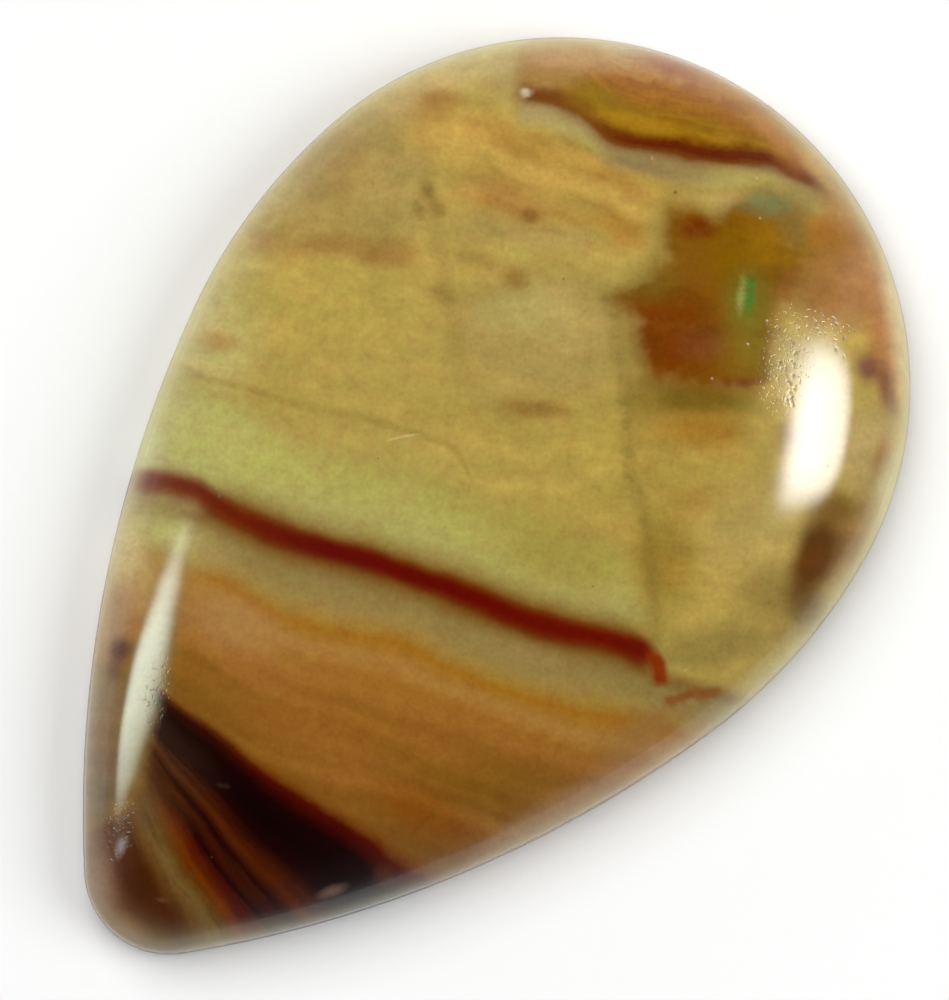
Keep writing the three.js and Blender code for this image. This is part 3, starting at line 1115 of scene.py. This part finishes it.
def capColour(colour, fine, right):
    height = held("capHeight")
    shifted = height + (fine - 0.5) * cap["wander"]
    size, stretch, slope = cap["layers"]
    layer = noise(vector(right * stretch, shifted + right * slope, 0.0), size, 2)
    tint = ramp(shifted, cap["colours"])
    inside = rising(height, *cap["inside"])
    for name in ("light", "dark"):
        tint = laid(tint, cap[name], layer, inside)
    # its lower line is thin and brown at the left end
    tint = laid(tint, cap["thinLine"], right, falling(abs(height), *cap["thinHalf"]))
    tint = over(tint, "capOvals")
    halo = rising(height, *cap["halo"]) * falling(right, *cap["haloEnd"])
    reach = larger(halo, rising(height, *cap["upper"]))
    edge = held("offCapSide") + (fine - 0.5) * cap["sideWander"]
    colour = mixed(colour, tint, reach * rising(edge, -cap["sideSoft"], cap["sideSoft"]))
    return laid(colour, cap["side"], abs(edge), rising(height, *cap["sideFrom"]))


def blockColour(colour, fine, coarse, right):
    edge = held("inBlock") + (fine - 0.5) * block["wander"][0] + (coarse - 0.5) * block["wander"][1]
    colour = laid(colour, block["halo"], edge, falling(right, *block["haloEnd"]))
    tint = laid(held("blockTint", 0), block["dark"], coarse)
    tint = laid(tint, block["light"], fine)
    return mixed(colour, tint, rising(edge, -block["soft"], block["soft"]))


def bandColour(colour, fine, streak, right, below):
    tint = ramp(below + (streak - 0.5) * bands["wander"], bands["colours"])
    body = rising(below, *bands["body"])
    for name in ("light", "dark"):
        tint = laid(tint, bands[name], streak, body)
    tint = over(tint, "bandOvals")
    upper = rising(below + (fine - 0.5) * bands["upperWander"], *bands["upper"])
    upper = upper * falling(right - below * bands["endSlope"], *bands["end"])
    return mixed(colour, tint, larger(upper, rising(below, *bands["lower"])))


def fanColour(colour, fine):
    turn, away = held("fanTurn"), held("fanAway")
    size, stretch, push = fan["rays"]
    ray = noise(vector(turn, away * stretch, 0.0), size, 2)
    shifted = turn + (ray - 0.5) * push
    tint = mixed(ramp(shifted, fan["near"]), ramp(shifted, fan["far"]), rising(away, *fan["nearEnds"]))
    tint = laid(tint, fan["light"], ray, rising(turn, *fan["lightFrom"]))
    tint = laid(tint, fan["dark"], ray, rising(turn, *fan["darkFrom"]))
    tint = over(tint, "fanOvals")
    top = rising(turn + (fine - 0.5) * fan["topWander"], *fan["top"])
    side = held("fanSide") + (fine - 0.5) * fan["sideWander"]
    return mixed(colour, tint, top * rising(side, -fan["sideSoft"], fan["sideSoft"]))


# The red vein, and the thin one that carries it on to the rim
vein = {
    "half": 11.0,
    "soft": 7.0,
    "wander": 5,
    "start": (88, 112),  # where it starts and is full, along the picture's right
    "end": (644, 666),
    "endSlope": 0.6,
    "along": [
        (100, (138, 78, 40)), (150, (124, 58, 24)), (220, (110, 42, 6)), (330, (98, 18, 1)),
        (660, (110, 28, 0)),
    ],
    "deep": ((92, 10, 0), 0.35, 8, 0),
    "thinWander": 8,
    "hookWander": 4,
}


def veinColour(colour, fine, coarse, right, below):
    half = vein["half"] + (coarse - 0.5) * vein["wander"]
    away = abs(below)
    mask = falling(away - half, -vein["soft"], vein["soft"])
    mask = mask * rising(right, *vein["start"]) * falling(right + away * vein["endSlope"], *vein["end"])
    colour = mixed(colour, laid(ramp(right, vein["along"]), vein["deep"], away), mask)
    colour = threaded(colour, "offThinVein", (fine - 0.5) * vein["thinWander"])
    return threaded(colour, "offHook", (fine - 0.5) * vein["hookWander"])


# Finish, by how far the surface is ground, not polished
finish = {
    "refraction": 1.54,
    "polished": 0.1,
    "rim": 0.3,  # how much duller the dome's foot is
    "ground": 0.5,
    "coarseRough": 0.05,  # how much duller the coarse noise, a pit and the grainy polish make it
    "speckRough": 0.2,
    "pittedRough": 0.07,
    "greenish": ((0.98, 1.02, 0.95), 1, 0.4, 0.66),
    "reddish": ((1.06, 0.98, 1.02), 1, 0.6, 0.3),
    "paintedGlints": ((206, 186, 136), 0.4, 0.0, 1.0),
    "darkSpecks": ((70, 52, 20), 0.7, 0.2, 1.0),
    # the painted pale sheen of the lit edge: its tint and strength
    "paintedRimSheen": ((232, 224, 164), 0.58),
    "mottle": 0.48,  # how much lighter or darker the blotches make the colour
    "grit": 0.4,  # and the fine grains
    "grain": (0.07, 0.0003),  # size of the polish's grain and its height, in mm
    "scratch": (0.30, 0.003),
    "scratchWays": [(0.9, 0.4, 0), (-5.6, 12.6, 0), (0, 0, 6)],  # long along the first
    "pitted": (0.11, 0.007),
    "open": (0.58, 0.72),  # where the grain is open
}


def makeJasper():
    jasper = bpy.data.materials.new("jasper")
    jasper.use_nodes = True
    Wire.tree = jasper.node_tree
    shader = jasper.node_tree.nodes["Principled BSDF"]
    spot = held("spot", 1)
    right, down, below = held("right"), held("down"), held("below")
    deep = dot(spot, (0, 0, 1))
    fine, grit = noise(spot, *strata["fine"]), noise(spot, *strata["grit"])
    stretch, slope = strata["coarseWay"]
    coarse = noise(vector(right * stretch, down - right * slope, deep), *strata["coarse"])
    streak = noise(vector(right * strata["streakWay"], below, deep), *strata["streak"])
    colour = groundColour(fine, coarse, right)
    colour = capColour(colour, fine, right)
    colour = blockColour(colour, fine, coarse, right)
    colour = bandColour(colour, fine, streak, right, below)
    colour = fanColour(colour, fine)
    colour = veinColour(colour, fine, coarse, right, below)
    colour = threaded(colour, "offScratch")

    # greenish and reddish blotches, then lighter and darker grains
    colour = laid(colour, finish["greenish"], coarse, 1, "MULTIPLY")
    colour = laid(colour, finish["reddish"], fine, 1, "MULTIPLY")
    mottle = (grit - 0.5) * finish["grit"] + (fine - 0.5) * finish["mottle"] + 1
    colour = mixed(colour, vector(mottle, mottle, mottle), 1.0, "MULTIPLY")
    worn, speck, footSheenAndDull = held("ground"), held("speck"), held("rim")
    # painted glints on the named pits, then the darker pits
    colour = laid(colour, finish["paintedGlints"], speck)
    colour = laid(colour, finish["darkSpecks"], 0 - speck)
    # painted light: a pale sheen over the dome's foot, for the bright room mirrored in the steep edge and
    # light through the thin edge
    pale, strength = finish["paintedRimSheen"]
    colour = mixed(colour, paint(pale), footSheenAndDull * strength)

    rough = (coarse - 0.5) * finish["coarseRough"] + worn * (finish["ground"] - finish["polished"])
    rough = rough + finish["polished"] + abs(speck) * finish["speckRough"]
    rough = rough + footSheenAndDull * (1 - worn) * finish["rim"] + held("pitted") * finish["pittedRough"]
    mmSpot = held("grainSpot", 1)
    size, height = finish["grain"]
    grain = noise(mmSpot, size, 1)
    size, depth = finish["scratch"]
    scratch = noise(vector(*[dot(mmSpot, way) for way in finish["scratchWays"]]), size, 2)
    size, hollow = finish["pitted"]
    grainy = rising(noise(mmSpot, size, 1), *finish["open"]) * held("pitted")
    relief = grain * (height * mm) + scratch * worn * (depth * mm) - grainy * (hollow * mm)
    bump = Wire.node("Bump", None, {"Strength": 1.0, "Distance": 1.0, "Height": relief})

    links = jasper.node_tree.links
    links.new(colour.socket, shader.inputs["Base Color"])
    links.new(rough.socket, shader.inputs["Roughness"])
    links.new(bump.socket, shader.inputs["Normal"])
    shader.inputs["IOR"].default_value = finish["refraction"]
    return jasper


stoneMesh.materials.append(makeJasper())
print("jasper:", len(Wire.tree.nodes), "nodes")

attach(stone, "root")
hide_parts("cabochon")
